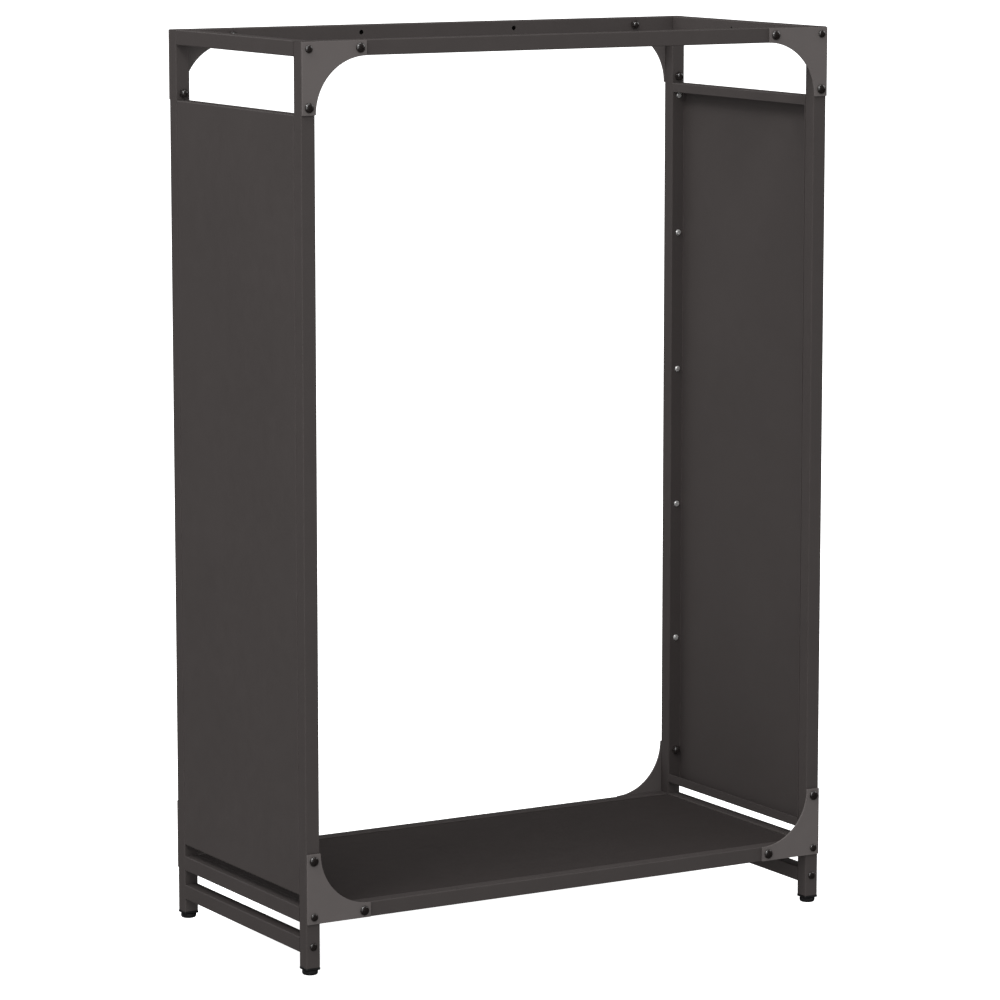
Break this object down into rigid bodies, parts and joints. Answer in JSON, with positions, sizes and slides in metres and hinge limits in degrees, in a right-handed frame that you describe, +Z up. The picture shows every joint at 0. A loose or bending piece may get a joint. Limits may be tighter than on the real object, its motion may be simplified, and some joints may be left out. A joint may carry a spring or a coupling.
{
  "type": "firewood log rack",
  "caption": "Free-standing firewood rack of square steel tube with sheet side panels, a low sheet shelf, corner gussets and levelling feet, open at front, rear and top.",
  "frame": {"origin": "on the floor under the middle of the rack", "axes": "+Z up, X along the width, -Y to the open front, +Y to the open rear"},
  "size_m": [0.6008, 0.2904, 0.906],
  "materials": {
    "frame_paint": "satin",
    "panel_paint": "satin",
    "shelf_paint": "satin",
    "gusset_paint": "satin",
    "fastener_black": "satin",
    "foot_plastic": "matte",
    "screw_zinc": "satin"
  },
  "bodies": {
    "frame": {"post_front_left": "frame_paint", "post_front_right": "frame_paint", "post_rear_left": "frame_paint", "post_rear_right": "frame_paint", "foot_insert_front_left": "foot_plastic", "foot_insert_front_right": "foot_plastic", "foot_insert_rear_left": "foot_plastic", "foot_insert_rear_right": "foot_plastic", "top_rail_front": "frame_paint", "top_rail_rear": "frame_paint", "top_rail_left": "frame_paint", "top_rail_right": "frame_paint", "shelf_rail_front": "frame_paint", "shelf_rail_rear": "frame_paint", "shelf_rail_left": "frame_paint", "shelf_rail_right": "frame_paint", "lower_stretcher_left": "frame_paint", "lower_stretcher_right": "frame_paint", "side_panel_left": "panel_paint", "side_panel_right": "panel_paint", "shelf": "shelf_paint", "gusset_front_left_top": "gusset_paint", "gusset_front_left_bottom": "gusset_paint", "gusset_front_right_top": "gusset_paint", "gusset_front_right_bottom": "gusset_paint", "gusset_rear_left_top": "gusset_paint", "gusset_rear_left_bottom": "gusset_paint", "gusset_rear_right_top": "gusset_paint", "gusset_rear_right_bottom": "gusset_paint", "corner_bolt_front_left_top": "fastener_black", "corner_bolt_front_left_bottom": "fastener_black", "corner_bolt_front_right_top": "fastener_black", "corner_bolt_front_right_bottom": "fastener_black", "corner_bolt_rear_left_top": "fastener_black", "corner_bolt_rear_left_bottom": "fastener_black", "corner_bolt_rear_right_top": "fastener_black", "corner_bolt_rear_right_bottom": "fastener_black", "post_bolt_front_left_top": "fastener_black", "post_bolt_front_left_bottom": "fastener_black", "post_bolt_front_right_top": "fastener_black", "post_bolt_front_right_bottom": "fastener_black", "post_bolt_rear_left_top": "fastener_black", "post_bolt_rear_left_bottom": "fastener_black", "post_bolt_rear_right_top": "fastener_black", "post_bolt_rear_right_bottom": "fastener_black", "rail_bolt_front_left_top": "fastener_black", "rail_bolt_front_left_bottom": "fastener_black", "rail_bolt_front_right_top": "fastener_black", "rail_bolt_front_right_bottom": "fastener_black", "rail_bolt_rear_left_top": "fastener_black", "rail_bolt_rear_left_bottom": "fastener_black", "rail_bolt_rear_right_top": "fastener_black", "rail_bolt_rear_right_bottom": "fastener_black"},
    "foot_front_left": {"levelling_foot_front_left": "foot_plastic"},
    "foot_front_right": {"levelling_foot_front_right": "foot_plastic"},
    "foot_rear_left": {"levelling_foot_rear_left": "foot_plastic"},
    "foot_rear_right": {"levelling_foot_rear_right": "foot_plastic"}
  },
  "joints": [
    {"name": "level_front_left", "type": "slide", "parent": "frame", "child": "foot_front_left", "axis": [0, 0, -1], "range_m": [0, 0.008]},
    {"name": "level_front_right", "type": "slide", "parent": "frame", "child": "foot_front_right", "axis": [0, 0, -1], "range_m": [0, 0.008]},
    {"name": "level_rear_left", "type": "slide", "parent": "frame", "child": "foot_rear_left", "axis": [0, 0, -1], "range_m": [0, 0.008]},
    {"name": "level_rear_right", "type": "slide", "parent": "frame", "child": "foot_rear_right", "axis": [0, 0, -1], "range_m": [0, 0.008]}
  ]
}
